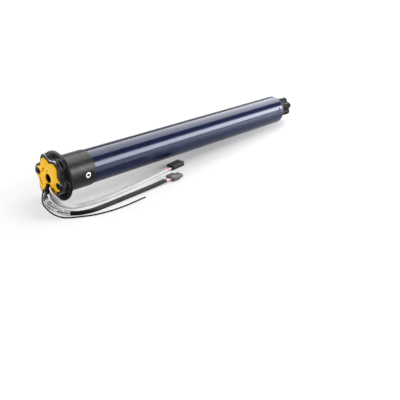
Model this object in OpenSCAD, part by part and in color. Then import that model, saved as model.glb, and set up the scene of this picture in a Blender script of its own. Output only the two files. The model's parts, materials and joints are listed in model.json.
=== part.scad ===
// Tubular roller blind motor with a star head, a running crown, a planetary gearbox and three leads.
// The motor axis is X, from the head to the drive end. The origin is the centre of the head's front rim.

/* [Motor tube] */
// outside diameter of the motor tube
tube_d = 45; // [42:0.5:48]
// wall thickness of the motor tube
tube_wall = 1; // [0.8:0.1:1.3]
// straight length of the motor tube
tube_len = 385; // [370:1:480]
// radius of the rounded shoulder at the drive end
shoulder_r = 7; // [6:0.5:8]

/* [Star head] */
// radius over the lobes of the head
star_r = 31; // [29:0.5:34]
// depth of the scallops between the lobes
star_dip = 6; // [4:0.5:7]
// depth of the lobed part along the axis
star_depth = 10.5; // [10.5:0.5:16]
// width of the black rim at the lobes, around the yellow cover
rim_w = 5; // [4.2:0.1:5.4]
// depth of the scallops in the yellow cover
cover_dip = 5; // [4:0.1:5.6]
// thickness of the round flange behind the lobes
flange_t = 3.5; // [3:0.5:6]
// how far the flange stands out beyond the lobes
flange_over = 1; // [0.5:0.1:2]
// depth of the pocket that holds the yellow cover
pocket_depth = 0.8; // [0.6:0.1:1.2]
// thickness of the yellow cover
cover_t = 2; // [1.8:0.1:2.4]
// radius of the bore in the centre of the head
bore_r = 6; // [5.6:0.1:6.2]
// depth of the bore behind the front of the cover
bore_depth = 9; // [7:0.5:9]
// radius of the two bracket screw holes
fix_hole_r = 1.75; // [1.5:0.05:2]
// distance of the bracket screw holes from the axis
fix_r = 21; // [20:0.5:22]

/* [Crown] */
// how far the crown stands out beyond the tube
crown_over = 0.9; // [0.6:0.1:1.5]
// length of the crown
crown_len = 39.6; // [34:0.2:44]
// radial running clearance of the crown on the spigot
crown_play = 0.06; // [0.03:0.01:0.09]
// distance of the crown screws from the crown's far end
crown_screw_back = 11.6; // [10:0.2:16]

/* [Gearbox] */
// gear module of both stages
gear_m = 0.6; // [0.58:0.01:0.61]
// face width of the first stage gears
stage_one_w = 12; // [9:0.5:15]
// face width of the second stage gears
stage_two_w = 18; // [14:0.5:22]
// thinning of every tooth for backlash
tooth_thin = 0.12; // [0.1:0.01:0.16]
// radial clearance of the planets on their pins
pin_play = 0.05; // [0.03:0.01:0.08]

/* [Electric motor] */
// outside diameter of the motor can
can_d = 35; // [33:0.5:36]
// length of the motor can
can_len = 78; // [70:1:90]
// diameter of the rotor shaft
shaft_d = 3; // [2.6:0.1:3.2]

/* [Drive end] */
// radius over the lobes of the drive star
drive_r = 16; // [15:0.1:17]
// depth of the valleys between the drive lobes
drive_dip = 3.4; // [2:0.1:3.8]
// length of the drive star
drive_len = 24.3; // [22:0.1:32]
// width of the square end of the output shaft
square_w = 12; // [11:0.5:13]

/* [Leads] */
// width of the flat cables
cable_w = 8; // [7:0.1:8.2]
// thickness of the flat cables
cable_t = 3.6; // [3:0.1:3.8]
// radius of the antenna wire
antenna_r = 0.9; // [0.7:0.1:1.1]
// radius of one conductor
conductor_r = 1.15; // [1:0.05:1.2]
// pitch of the three conductors
conductor_pitch = 2.7; // [2.6:0.1:2.8]

/* [Hidden] */
$fn = 96;

// general clearances
fit_gap = 0.05;
axial_gap = 0.8;
crown_gap = 0.3;
far = 200;

// radii about the axis
tube_r = tube_d / 2;
tube_in = tube_r - tube_wall;
seat_r = tube_in - fit_gap;
crown_r = tube_r + crown_over;
spigot_r = tube_in - 1.5;
spigot_in = spigot_r - 3;
flange_r = star_r + flange_over;
can_r = can_d / 2;
can_wall = 1.2;
can_in = can_r - can_wall;
shaft_r = shaft_d / 2;

// stations along the axis, from the head to the drive end
cover_front = pocket_depth - cover_t;
flange_x = star_depth;
spigot_x = flange_x + flange_t;
crown_x = spigot_x + crown_gap;
crown_end = crown_x + crown_len;
crown_screw_x = crown_end - crown_screw_back;
tube_x = crown_end + crown_gap;
collar_len = 24;
collar_end = tube_x + collar_len;
tube_end = tube_x + tube_len;
shoulder_end = tube_end + shoulder_r;
drive_x = shoulder_end + 0.6;
drive_end = drive_x + drive_len;

// stations of the gearbox, from the drive end back to the motor
bearing_len = 26;
bearing_x = tube_end - bearing_len;
plate_two_end = bearing_x - axial_gap;
plate_two_x = plate_two_end - 6;
stage_two_end = plate_two_x - axial_gap;
stage_two_x = stage_two_end - stage_two_w;
plate_one_end = stage_two_x - axial_gap;
plate_one_x = plate_one_end - 5;
stage_one_end = plate_one_x - axial_gap;
stage_one_x = stage_one_end - stage_one_w;
motor_plate_end = stage_one_x - axial_gap;
motor_plate_x = motor_plate_end - 5;
can_x = motor_plate_x - can_len;
rotor_back = can_x - 7;

// tooth counts of the planetary stages
sun_teeth = 12;
planet_teeth = 24;
ring_teeth = 60;
planet_orbit = gear_m * (sun_teeth + planet_teeth) / 2;
planet_pin_r = 2;
pressure_angle = 20;

// clock angles seen from the front of the head, clockwise from the top
lobe_clock = 42;
fix_clocks = [102, 282];
cable_clock = 183;
crown_screw_clocks = [94, 274];
gearbox_screw_clock = 71;

// cable channel in the head, and the notch that leads the cables out
channel_r = 12.2;
channel_w = 17;
channel_h = 10.6;
clamp_x = 5;
clamp_t = 6;
clamp_gap = 0.2;
notch_r = 7.6;
notch_at = 14.2;
notch_depth = 4.2;

// posts for the bracket screws, clip slots across the lobes and web behind the star
post_r = 4.2;
post_gap = 0.2;
cover_gap = 0.15;
fix_hole_end = 11;
slot_x = 4.4;
slot_w = 2.4;
slot_deep = 2.4;
web_t = 0.6;
lobe_points = 144;

// set button, its switch and the arc recesses in the cover
button_clock = 355.5;
button_at = 9.5;
button_r = 1.04;
button_hole_r = 1.1;
button_sunk = 0.4;
button_flange_r = 2.1;
button_flange_t = 1.2;
switch_x = 7.6;
switch_gap = 0.8;
switch_w = 4.2;
switch_t = 2.4;
switch_pocket_r = 3.1;
recess_deep = 1.4;

// crown lip and crown screws
lip_over = 1.8;
lip_w = 2.1;
lip_edge = 0.5;
crown_edge = 0.8;
crown_screw_r = 1.5;
crown_hole_r = 1.6;
crown_head_r = 3.9;
crown_head_t = 1.3;
crown_counter_r = 4.9;
crown_counter_deep = 1.9;
crown_socket_r = 1.9;
crown_socket_deep = 1.1;
groove_w = 4.4;
groove_deep = 1.3;
screw_tip = 1;

// collar pins
pin_clocks = [30, 150, 270];
pin_x = tube_x + 11;
pin_r = 1.5;

// electronics
tray_x = collar_end + 4;
tray_len = 150;
tray_out = tube_in - 0.4;
board_z = -4;
board_t = 1.6;
board_top = board_z + board_t;
board_w = 2 * (tube_in - 1.7);

// stations of the electronics, as shares of the tray's length
chip_at = 0.2;
radio_at = 0.347;
driver_at = 0.427;
capacitor_at = 0.613;
bridge_at = 0.747;
chip_size = [12, 12, 1.6];
radio_size = [24, 16, 2.4];
driver_size = [8, 6, 1.8];
bridge_size = [10, 9, 4.4];
head_terminal = [11, 26, 9];
motor_terminal = [9, 22, 8];
capacitor_r = 5.2;
capacitor_h = 13;
lead_y = 7;
lead_r = 0.9;

// electric motor
bearing_r = 4;
bearing_t = 6;
front_t = 2.4;
plate_bolt_y = 11;
plate_bolt_r = 1.5;
plate_bolt_play = 0.1;
plate_head_r = 2.7;
plate_head_t = 2.2;
plate_sink = 2.6;
plate_bore_r = 5.6;
magnet_t = 3.2;
magnet_gap = 8;
magnet_from = 20;
magnet_back = 8;
core_from = 24;
core_back = 12;
damper_back = 20;
commutator_from = 9;
commutator_len = 11;
core_gap = 0.6;
core_slot_w = 1.8;
core_slot_deep = 5.2;
damper_w = 8;
commutator_r = 4.6;
encoder_r = 6;
press_gap = 0.02;

// gearbox output and drive end
disc_over_pin = 2.4;
bush_r = 13;
journal_r = 10;
journal_play = 0.05;
seal_r = 14.4;
seal_t = 4;
side_screw_x = tube_end - 8;
side_screw_r = 1.5;
side_hole_r = 1.6;
side_screw_sunk = 0.8;
side_screw_from = 14.4;
slit_w = 1.6;
slit_len = 3.4;
shoulder_bore_r = 11.5;
drive_clock = 70;
drive_points = 120;
washer_r = 9.2;
washer_t = 1.4;
drive_sink = 3.6;
drive_head_r = 4.6;
drive_bolt_r = 2.45;
drive_tap_r = 2.5;

// resting plane that touches the flange and the far end of the tube
rest_tilt = atan((flange_r - tube_r) / (tube_end - flange_x - flange_t / 2));
function rest_z(x) = -flange_r + (x - flange_x - flange_t / 2) * tan(rest_tilt);
function lie(x, h) = rest_z(x) + h;

// lead routes: x, y, z of the centre line and roll of the flat section
half_t = cable_t / 2;
white_route = [
    [5, -2.6, -13, 90], [2.6, -2.6, -13, 90], [0, -2.6, -13, 90], [-4.2, -7.6, -13, 86],
    [-7, -13, -13.6, 80], [-8.8, -18.4, -15.2, 70], [-9, -23, -17.4, 60], [-8, -27, -19.8, 48],
    [-5.6, -30.4, -22.2, 36], [-1.8, -33, -24.8, 24], [4, -34.6, -27.4, 12],
    [11.6, -35.6, lie(11.6, half_t + 0.6), 4], [20, -37.8, lie(20, half_t), 0],
    [29, -39.6, lie(29, half_t), 0], [39, -41.2, lie(39, half_t), 0], [51, -41.8, lie(51, half_t), 0],
    [76, -40, lie(76, half_t), 0], [104, -37, lie(104, half_t), 0], [134, -33, lie(134, half_t), 0],
    [146, -31.6, lie(146, 1.9), 0], [156, -30.6, lie(156, 2.4), 0], [161, -30.1, lie(161, 2.6), 0],
    [165, -29.7, lie(165, 2.6), 0]];
black_route = [
    [5, 1.6, -11.6, 90], [2.6, 1.6, -11.6, 90], [0, 1.6, -11.6, 90], [-6.6, -3.4, -11.4, 88],
    [-12, -9.6, -11.8, 82], [-16.8, -15.8, -12.8, 74], [-19.8, -21.2, -14.6, 64],
    [-21, -26.2, -16.8, 54], [-20.7, -30.6, -19.4, 44], [-19.2, -34.6, -22, 34],
    [-16.6, -38.2, -24.4, 25], [-12.8, -41.6, -26.8, 17], [-8, -45.2, -29, 9],
    [-2, -49.4, lie(-2, half_t + 0.4), 3], [4.4, -53.6, lie(4.4, half_t), 0],
    [12, -57, lie(12, half_t), 0], [22, -59.2, lie(22, half_t), 0], [45, -59.6, lie(45, half_t), 0],
    [70, -59, lie(70, half_t), 0], [96, -58.4, lie(96, half_t), 0], [118, -58, lie(118, 1.9), 0],
    [129, -57.8, lie(129, 2.4), 0], [134, -57.7, lie(134, 2.6), 0], [138, -57.6, lie(138, 2.6), 0]];
antenna_route = [
    [5, 5, -11.4, 0], [2.6, 5, -11.4, 0], [0, 5, -11.4, 0], [-9, -1.2, -11.6, 0], [-14.5, -7.4, -12.4, 0],
    [-19.7, -13.9, -14, 0], [-23.6, -19.7, -17, 0], [-25.6, -25.7, -20.2, 0], [-25.2, -31.6, -23.2, 0],
    [-23.9, -37.2, -26.2, 0], [-21.2, -42.1, -28.8, 0], [-17.3, -47, -30.8, 0],
    [-12.4, -52, lie(-12.4, 1), 0], [0, -61, lie(0, 0.95), 0], [14, -69, lie(14, 0.95), 0],
    [33, -74.4, lie(33, 0.95), 0], [54, -76.6, lie(54, 0.95), 0], [70, -76.2, lie(70, 0.95), 0],
    [88, -75.2, lie(88, 0.95), 0]];

// route steps between which the label is wrapped around the black cable
label_from = 13;
label_to = 25;

// conductors and housings at the end of each flat cable
wire_len = 9;
wire_in = 4;
wire_z = 2.57;
wire_play = 0.05;
socket_len = 24;
socket_w = 12;
socket_h = 5.8;
ridge_w = 2.2;
ridge_h = 0.8;
ridge_pitch = 4.6;
plug_len = 12.5;
plug_w = 15;
plug_h = 5.6;
tongue_len = 7.5;
tongue_w = 10;
tongue_h = 4.2;
latch_w = 4;
latch_len = 5;
latch_h = 0.8;
tongue_z = 0.5;
contact_pitch = 2.8;
slot_half = 1.1;

// local frames

// puts the local Z axis along the motor axis
module along(x) {
    translate([x, 0, 0]) rotate([0, 90, 0]) children();
}

// puts the local Z axis outwards at a clock angle
module radial(c, x) {
    translate([x, 0, 0]) rotate([c, 0, 0]) children();
}

// moves along the clock angle without turning
module at_clock(c, r, x) {
    translate([x, -r * sin(c), r * cos(c)]) children();
}

// stands on the resting plane at the end of a lead, with the local X axis along the lead
module at_lead_end(p) {
    end = spot(p[len(p) - 1]);
    translate(end) rotate([0, -rest_tilt, lead_turn(p)]) translate([0, 0, -wire_z]) children();
}

// basic shapes

module disc(x0, x1, r) {
    along(x0) cylinder(h = x1 - x0, r = r);
}

module tube_ring(x0, x1, outer, inner) {
    difference() {
        disc(x0, x1, outer);
        disc(x0 - 1, x1 + 1, inner);
    }
}

// lobed outline, lobes at the clock angle given by turn
function lobed(r, dip, turn, lobes, n) = [for (i = [0 : n - 1])
    let (c = 360 * i / n, s = (1 - cos(lobes * (c - turn))) / 2, q = r - dip * pow(s, 1.4))
    [-q * cos(c), -q * sin(c)]];

// flat band of an arc about the axis
function arc_band(r0, r1, c0, c1, n) = concat(
    [for (i = [0 : n]) let (c = c0 + (c1 - c0) * i / n) [-r1 * cos(c), -r1 * sin(c)]],
    [for (i = [n : -1 : 0]) let (c = c0 + (c1 - c0) * i / n) [-r0 * cos(c), -r0 * sin(c)]]);

// involute gear outline with a tooth centred on the local X axis
function involute(a) = tan(a) * 180 / PI - a;
function gear_outline(teeth, r_root, r_tip, thick) =
    let (rp = gear_m * teeth / 2, rb = rp * cos(pressure_angle),
        half = thick / rp * 90 / PI + involute(pressure_angle),
        low = max(rb, r_root), rise = r_tip - low,
        rs = [r_root, low + rise * 0.06, low + rise * 0.4, low + rise * 0.72, r_tip],
        an = [for (r = rs) half - (r > rb ? involute(acos(rb / r)) : 0)])
    [for (i = [0 : teeth - 1]) each concat(
        [for (k = [0 : 4]) let (a = 360 * i / teeth - an[k]) [rs[k] * cos(a), rs[k] * sin(a)]],
        [for (k = [4 : -1 : 0]) let (a = 360 * i / teeth + an[k]) [rs[k] * cos(a), rs[k] * sin(a)]])];
tooth_w = PI * gear_m / 2;

module gear(teeth, w) {
    rp = gear_m * teeth / 2;
    outline = gear_outline(teeth, rp - 1.25 * gear_m, rp + 0.8 * gear_m, tooth_w - tooth_thin);
    linear_extrude(w) polygon(outline);
}

// smooth curve through route points and its swept section
function curve_point(a, b, c, d, t) = 0.5 * (2 * b + (c - a) * t + (2 * a - 5 * b + 4 * c - d) * t * t
    + (3 * b - a - 3 * c + d) * t * t * t);
function smooth_route(p) = let (n = len(p)) concat([for (i = [0 : n - 2]) each
    let (a = p[max(i - 1, 0)], b = p[i], c = p[i + 1], d = p[min(i + 2, n - 1)])
    [curve_point(i == 0 ? 2 * b - c : a, b, c, i == n - 2 ? 2 * c - b : d, 0),
    curve_point(i == 0 ? 2 * b - c : a, b, c, i == n - 2 ? 2 * c - b : d, 0.5)]], [p[n - 1]]);
function spot(q) = [q[0], q[1], q[2]];
function unit(v) = v / norm(v);
function heading(p, i) = unit(spot(p[min(i + 1, len(p) - 1)]) - spot(p[max(i - 1, 0)]));
function section_ring(p, i, section) =
    let (t = heading(p, i), left = unit(cross([0, 0, 1], t)), up = cross(t, left), roll = p[i][3],
        w = cos(roll) * left + sin(roll) * up, n = cross(t, w))
    [for (s = section) spot(p[i]) + s[0] * w + s[1] * n];
module sweep(p, section) {
    m = len(section);
    n = len(p);
    points = [for (i = [0 : n - 1]) each section_ring(p, i, section)];
    sides = [for (i = [0 : n - 2]) for (k = [0 : m - 1]) each [
        [i * m + k, (i + 1) * m + k, (i + 1) * m + (k + 1) % m],
        [i * m + k, (i + 1) * m + (k + 1) % m, i * m + (k + 1) % m]]];
    first = [for (k = [0 : m - 1]) k];
    last = [for (k = [m - 1 : -1 : 0]) (n - 1) * m + k];
    polyhedron(points, concat([first], sides, [last]), convexity = 6);
}
// thin wrap around a lead, between an outer and an inner section
module sweep_wrap(p, outer, inner) {
    m = len(outer);
    n = len(p);
    h = n * m;
    points = concat([for (i = [0 : n - 1]) each section_ring(p, i, outer)],
        [for (i = [0 : n - 1]) each section_ring(p, i, inner)]);
    skin = [for (i = [0 : n - 2]) for (k = [0 : m - 1]) let (a = i * m + k, b = i * m + (k + 1) % m) each [
        [a, a + m, b + m], [a, b + m, b], [h + a, h + b + m, h + a + m], [h + a, h + b, h + b + m]]];
    e = (n - 1) * m;
    ends = [for (k = [0 : m - 1]) let (j = (k + 1) % m) each [
        [k, j, h + j], [k, h + j, h + k], [e + k, e + h + j, e + j], [e + k, e + h + k, e + h + j]]];
    polyhedron(points, concat(skin, ends), convexity = 6);
}
function flat_section(w, t) = let (a = w / 2 - t / 2, b = t / 2) [
    [a, b], [a + b * 0.72, b * 0.72], [a + b, 0], [a + b * 0.72, -b * 0.72], [a, -b],
    [-a, -b], [-a - b * 0.72, -b * 0.72], [-a - b, 0], [-a - b * 0.72, b * 0.72], [-a, b]];
function round_section(r) = [for (i = [0 : 7]) [r * cos(45 * i), -r * sin(45 * i)]];
function lead_turn(p) = let (n = len(p)) atan2(p[n - 1][1] - p[n - 2][1], p[n - 1][0] - p[n - 2][0]);

// head

module cable_notch_outline() {
    rotate(cable_clock + 180) union() {
        translate([notch_at, 0]) circle(r = notch_r);
        translate([notch_at, -notch_r]) square([star_r, 2 * notch_r]);
    }
}

module fix_post_outline(grow) {
    half = post_r + grow;
    for (c = fix_clocks) rotate(c + 180) union() {
        translate([fix_r, 0]) circle(r = half);
        translate([fix_r, -half]) square([star_r - fix_r, 2 * half]);
    }
}

module cover_outline(gap) {
    polygon(lobed(star_r - rim_w - gap, cover_dip, lobe_clock, 6, lobe_points));
}

module head_body() {
    color([0.07, 0.07, 0.08]) difference() {
        union() {
            difference() {
                along(0) linear_extrude(star_depth)
                    polygon(lobed(star_r, star_dip, lobe_clock, 6, lobe_points));
                along(-1) linear_extrude(pocket_depth + 1) cover_outline(0);
            }
            along(cover_front) linear_extrude(cover_t + 0.5) intersection() {
                fix_post_outline(0);
                polygon(lobed(star_r - rim_w / 2, star_dip, lobe_clock, 6, lobe_points));
            }
            along(flange_x) rotate_extrude() polygon([[0, -0.5], [flange_r - 3, -0.5], [flange_r - 1.2, 0],
                [flange_r, 1.2], [flange_r, flange_t - 1.2], [flange_r - 1.2, flange_t], [0, flange_t]]);
            disc(flange_x, collar_end - 2, spigot_r);
        }
        // clip slots across the lobes
        tube_ring(slot_x, slot_x + slot_w, star_r + 6, star_r - slot_deep);
        // hollow spigot, centre bore and bracket screw holes
        disc(star_depth + web_t, collar_end + far, spigot_in);
        disc(cover_front - 1, cover_front + bore_depth, bore_r);
        for (c = fix_clocks) at_clock(c, fix_r, 0) along(cover_front - 1)
            cylinder(h = fix_hole_end - cover_front + 1, r = fix_hole_r);
        // ride groove for the crown screw tips
        tube_ring(crown_screw_x - groove_w / 2, crown_screw_x + groove_w / 2, spigot_r + 5,
            spigot_r - groove_deep);
        // switch pocket, cable channel and cable notch in the rim
        at_clock(button_clock, button_at, 0) along(0)
            cylinder(h = switch_x + switch_t, r = switch_pocket_r);
        rotate([cable_clock, 0, 0]) translate([-1, -channel_w / 2, channel_r - channel_h / 2])
            cube([star_depth + 3, channel_w, channel_h]);
        along(-1) linear_extrude(notch_depth + 1) cable_notch_outline();
        // holes for the collar pins
        for (c = pin_clocks) radial(c, pin_x) cylinder(h = far, r = pin_r + fit_gap);
    }
}

module star_cover() {
    color([1, 0.72, 0.05]) difference() {
        along(cover_front) linear_extrude(cover_t) difference() {
            cover_outline(cover_gap);
            circle(r = bore_r);
            cable_notch_outline();
            fix_post_outline(post_gap);
        }
        at_clock(button_clock, button_at, 0) along(cover_front - 1)
            cylinder(h = cover_t + 2, r = button_hole_r);
        along(cover_front - 1) linear_extrude(recess_deep + 1) polygon(arc_band(12, 14.6, 294, 332, 10));
        along(cover_front - 1) linear_extrude(recess_deep + 1) polygon(arc_band(16.6, 19.2, 228, 262, 10));
        along(cover_front - 1) linear_extrude(recess_deep + 1) polygon(arc_band(13.6, 15.6, 138, 150, 6));
    }
}

module set_button() {
    stem_x = cover_front + button_sunk;
    color([0.25, 0.12, 0.05]) at_clock(button_clock, button_at, 0) union() {
        along(stem_x) cylinder(h = switch_x - switch_gap - stem_x, r = button_r);
        along(pocket_depth + 0.5) cylinder(h = button_flange_t, r = button_flange_r);
    }
}

module set_switch() {
    color([0.1, 0.1, 0.11]) at_clock(button_clock, button_at, switch_x)
        translate([0, -switch_w / 2, -switch_w / 2]) cube([switch_t, switch_w, switch_w]);
}

module cable_clamp() {
    color([0.2, 0.2, 0.21]) rotate([cable_clock, 0, 0])
        translate([clamp_x, clamp_gap - channel_w / 2, channel_r - channel_h / 2 + clamp_gap])
        cube([clamp_t, channel_w - 2 * clamp_gap, channel_h - 2 * clamp_gap]);
}

// crown

module crown() {
    bore = spigot_r + crown_play;
    lip = crown_r + lip_over;
    color([0.12, 0.12, 0.13]) difference() {
        along(crown_x) rotate_extrude() polygon([[bore, 0], [lip - lip_edge, 0], [lip, lip_edge],
            [lip, lip_w - lip_edge], [lip - lip_edge, lip_w], [crown_r, lip_w],
            [crown_r, crown_len - crown_edge], [crown_r - crown_edge, crown_len], [bore, crown_len]]);
        for (c = crown_screw_clocks) radial(c, crown_screw_x) {
            translate([0, 0, crown_r - crown_counter_deep]) cylinder(h = 10, r = crown_counter_r);
            cylinder(h = crown_r + 1, r = crown_hole_r);
        }
    }
}

module crown_screws() {
    seat = crown_r - crown_counter_deep;
    tip = spigot_r - screw_tip;
    socket = seat + crown_head_t - crown_socket_deep;
    color([0.85, 0.86, 0.88]) for (c = crown_screw_clocks) radial(c, crown_screw_x) difference() {
        union() {
            translate([0, 0, seat]) cylinder(h = crown_head_t, r = crown_head_r);
            translate([0, 0, tip]) cylinder(h = seat - tip + 0.5, r = crown_screw_r);
        }
        translate([0, 0, socket]) cylinder(h = 5, r = crown_socket_r, $fn = 6);
    }
}

// tube

module motor_tube() {
    steps = 12;
    centre_r = tube_r - shoulder_r;
    inner_r = shoulder_r - tube_wall;
    color([0.08, 0.1, 0.2]) difference() {
        along(tube_x) rotate_extrude() polygon(concat([[tube_in, 0], [tube_r, 0]],
            [for (i = [0 : steps]) let (a = 90 * i / steps)
                [centre_r + shoulder_r * cos(a), tube_len + shoulder_r * sin(a)]],
            [[shoulder_bore_r, tube_len + shoulder_r], [shoulder_bore_r, tube_len + inner_r]],
            [for (i = [0 : steps]) let (a = 90 - 90 * i / steps)
                [centre_r + inner_r * cos(a), tube_len + inner_r * sin(a)]]));
        for (k = [0 : 3]) radial(gearbox_screw_clock + 90 * k, side_screw_x)
            cylinder(h = tube_r + 2, r = side_hole_r);
        radial(gearbox_screw_clock + 12, side_screw_x) translate([-slit_w / 2, -slit_len / 2, tube_in - 2])
            cube([slit_w, slit_len, 6]);
    }
}

module tube_collar() {
    color([0.16, 0.16, 0.17]) difference() {
        tube_ring(tube_x - 0.1, collar_end, seat_r, spigot_r + fit_gap);
        for (c = pin_clocks) radial(c, pin_x) cylinder(h = far, r = pin_r + fit_gap);
    }
}

module collar_pins() {
    color([0.7, 0.7, 0.72]) for (c = pin_clocks) radial(c, pin_x)
        translate([0, 0, spigot_in + 0.4]) cylinder(h = seat_r - spigot_in - 0.6, r = pin_r);
}

// electronics

module board_tray() {
    color([0.85, 0.85, 0.82]) difference() {
        tube_ring(tray_x, tray_x + tray_len, tray_out, tray_out - 2.2);
        translate([tray_x - 1, -far / 2, board_z]) cube([tray_len + 2, far, far]);
    }
}

module circuit_board() {
    color([0.06, 0.3, 0.14]) translate([tray_x + 2, -board_w / 2, board_z])
        cube([tray_len - 4, board_w, board_t]);
}

module board_chips() {
    color([0.05, 0.05, 0.06]) translate([tray_x, 0, board_top]) {
        translate([tray_len * chip_at, -chip_size[1], 0]) cube(chip_size);
        translate([tray_len * radio_at, 3 - radio_size[1], 0]) cube(radio_size);
        for (at = [radio_at, driver_at]) translate([tray_len * at, 8, 0]) cube(driver_size);
        for (y = [-12, 3]) translate([tray_len * bridge_at, y, 0]) cube(bridge_size);
    }
}

module board_capacitors() {
    color([0.12, 0.14, 0.3]) for (y = [-8, 8]) translate([tray_x + tray_len * capacitor_at, y, board_top])
        cylinder(h = capacitor_h, r = capacitor_r);
}

module board_terminals() {
    color([0.1, 0.4, 0.2]) {
        translate([tray_x + 6, -head_terminal[1] / 2, board_top]) cube(head_terminal);
        translate([tray_x + tray_len - 5 - motor_terminal[0], -motor_terminal[1] / 2, board_top])
            cube(motor_terminal);
    }
}

module motor_leads() {
    from = tray_x + tray_len - 5;
    color([0.7, 0.1, 0.1]) for (y = [-lead_y, lead_y]) translate([0, y, board_top + 4])
        along(from) cylinder(h = can_x - from, r = lead_r);
}

// electric motor

module motor_can() {
    color([0.6, 0.61, 0.63]) difference() {
        disc(can_x, motor_plate_x, can_r);
        disc(can_x - 1, motor_plate_x - front_t, can_in);
        disc(can_x, motor_plate_x + 1, bearing_r + fit_gap);
        for (y = [-plate_bolt_y, plate_bolt_y]) translate([0, y, 0])
            along(motor_plate_x - 5) cylinder(h = 9, r = plate_bolt_r + fit_gap);
    }
}

module motor_rear_cap() {
    color([0.15, 0.15, 0.16]) tube_ring(can_x, can_x + bearing_t, can_in - fit_gap, bearing_r + fit_gap);
}

module motor_magnets() {
    color([0.22, 0.22, 0.24]) difference() {
        tube_ring(can_x + magnet_from, motor_plate_x - magnet_back, can_in - fit_gap, can_in - magnet_t);
        translate([can_x, -far / 2, -magnet_gap / 2]) cube([can_len, far, magnet_gap]);
    }
}

module motor_bearings() {
    color([0.72, 0.52, 0.25]) {
        tube_ring(can_x, can_x + bearing_t, bearing_r, shaft_r + journal_play);
        tube_ring(motor_plate_x - 5, motor_plate_x, bearing_r, shaft_r + journal_play);
    }
}

module damper_rings() {
    color([0.03, 0.03, 0.03]) for (x = [can_x + bearing_t, motor_plate_x - damper_back])
        tube_ring(x, x + damper_w, seat_r, can_r + fit_gap);
}

module rotor_shaft() {
    color([0.75, 0.76, 0.78]) disc(rotor_back, stage_one_end, shaft_r);
}

module rotor_core() {
    core_r = can_in - magnet_t - core_gap;
    color([0.45, 0.3, 0.2]) difference() {
        tube_ring(can_x + core_from, motor_plate_x - core_back, core_r, shaft_r + press_gap);
        for (k = [0 : 4]) radial(72 * k, can_x) translate([0, -core_slot_w / 2, core_r - core_slot_deep])
            cube([can_len, core_slot_w, core_slot_deep + 1]);
    }
}

module commutator() {
    color([0.7, 0.4, 0.2]) along(can_x + commutator_from) difference() {
        cylinder(h = commutator_len, r = commutator_r);
        translate([0, 0, -1]) cylinder(h = commutator_len + 2, r = shaft_r + press_gap);
    }
}

module encoder_magnet() {
    color([0.3, 0.3, 0.32]) tube_ring(rotor_back + 1, rotor_back + 5, encoder_r, shaft_r + press_gap);
}

module sun_pinion() {
    color([0.72, 0.6, 0.3]) difference() {
        along(stage_one_x) gear(sun_teeth, stage_one_w);
        disc(stage_one_x - 1, stage_one_end + 1, shaft_r + press_gap);
    }
}

module motor_plate() {
    color([0.55, 0.56, 0.58]) difference() {
        tube_ring(motor_plate_x, motor_plate_end, seat_r, plate_bore_r);
        for (y = [-plate_bolt_y, plate_bolt_y]) translate([0, y, 0]) {
            along(motor_plate_x - 1) cylinder(h = 9, r = plate_bolt_r + plate_bolt_play);
            along(motor_plate_end - plate_sink) cylinder(h = 9, r = plate_head_r + 0.2);
        }
    }
}

module motor_plate_screws() {
    color([0.5, 0.5, 0.52]) for (y = [-plate_bolt_y, plate_bolt_y]) translate([0, y, 0]) {
        along(motor_plate_end - plate_sink) cylinder(h = plate_head_t, r = plate_head_r);
        along(motor_plate_x - 2.2) cylinder(h = motor_plate_end - motor_plate_x, r = plate_bolt_r);
    }
}

// planetary gearbox

module ring_gear() {
    rp = gear_m * ring_teeth / 2;
    gaps = gear_outline(ring_teeth, rp - 0.8 * gear_m, rp + 1.25 * gear_m, tooth_w + tooth_thin);
    w = bearing_x - motor_plate_end;
    color([0.5, 0.5, 0.52]) along(motor_plate_end) linear_extrude(w) difference() {
        circle(r = seat_r);
        rotate(180 / ring_teeth) polygon(gaps);
    }
}

module planet(k, x, w) {
    b = 120 * k;
    along(x) translate([planet_orbit * cos(b), planet_orbit * sin(b), 0])
        rotate(b + 180 / planet_teeth) difference() {
            gear(planet_teeth, w);
            translate([0, 0, -1]) cylinder(h = w + 2, r = planet_pin_r + pin_play);
        }
}

module planet_pins(x0, x1) {
    for (k = [0 : 2]) along(x0) translate([planet_orbit * cos(120 * k), planet_orbit * sin(120 * k), 0])
        cylinder(h = x1 - x0, r = planet_pin_r);
}

module planet_a1() {
    color([0.85, 0.83, 0.75]) planet(0, stage_one_x, stage_one_w);
}

module planet_a2() {
    color([0.85, 0.83, 0.75]) planet(1, stage_one_x, stage_one_w);
}

module planet_a3() {
    color([0.85, 0.83, 0.75]) planet(2, stage_one_x, stage_one_w);
}

module carrier_one() {
    color([0.6, 0.6, 0.62]) union() {
        disc(plate_one_x, plate_one_end, planet_orbit + planet_pin_r + disc_over_pin);
        planet_pins(stage_one_x, plate_one_x + 1);
        along(plate_one_end - 1) gear(sun_teeth, stage_two_end - plate_one_end + 1);
    }
}

module planet_b1() {
    color([0.62, 0.6, 0.55]) planet(0, stage_two_x, stage_two_w);
}

module planet_b2() {
    color([0.62, 0.6, 0.55]) planet(1, stage_two_x, stage_two_w);
}

module planet_b3() {
    color([0.62, 0.6, 0.55]) planet(2, stage_two_x, stage_two_w);
}

// drive end

module output_shaft() {
    color([0.66, 0.67, 0.69]) difference() {
        union() {
            disc(plate_two_x, plate_two_end, planet_orbit + planet_pin_r + disc_over_pin);
            planet_pins(stage_two_x, plate_two_x + 1);
            disc(plate_two_end - 1, drive_x, journal_r);
            translate([drive_x - 1, -square_w / 2, -square_w / 2])
                cube([drive_len - 3, square_w, square_w]);
        }
        disc(drive_end - 20, drive_end + 1, drive_tap_r);
    }
}

module end_bearing() {
    color([0.1, 0.1, 0.11]) difference() {
        tube_ring(bearing_x, tube_end, seat_r, bush_r + fit_gap);
        for (k = [0 : 3]) radial(gearbox_screw_clock + 90 * k, side_screw_x)
            translate([0, 0, side_screw_from]) cylinder(h = far, r = side_hole_r);
    }
}

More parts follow.
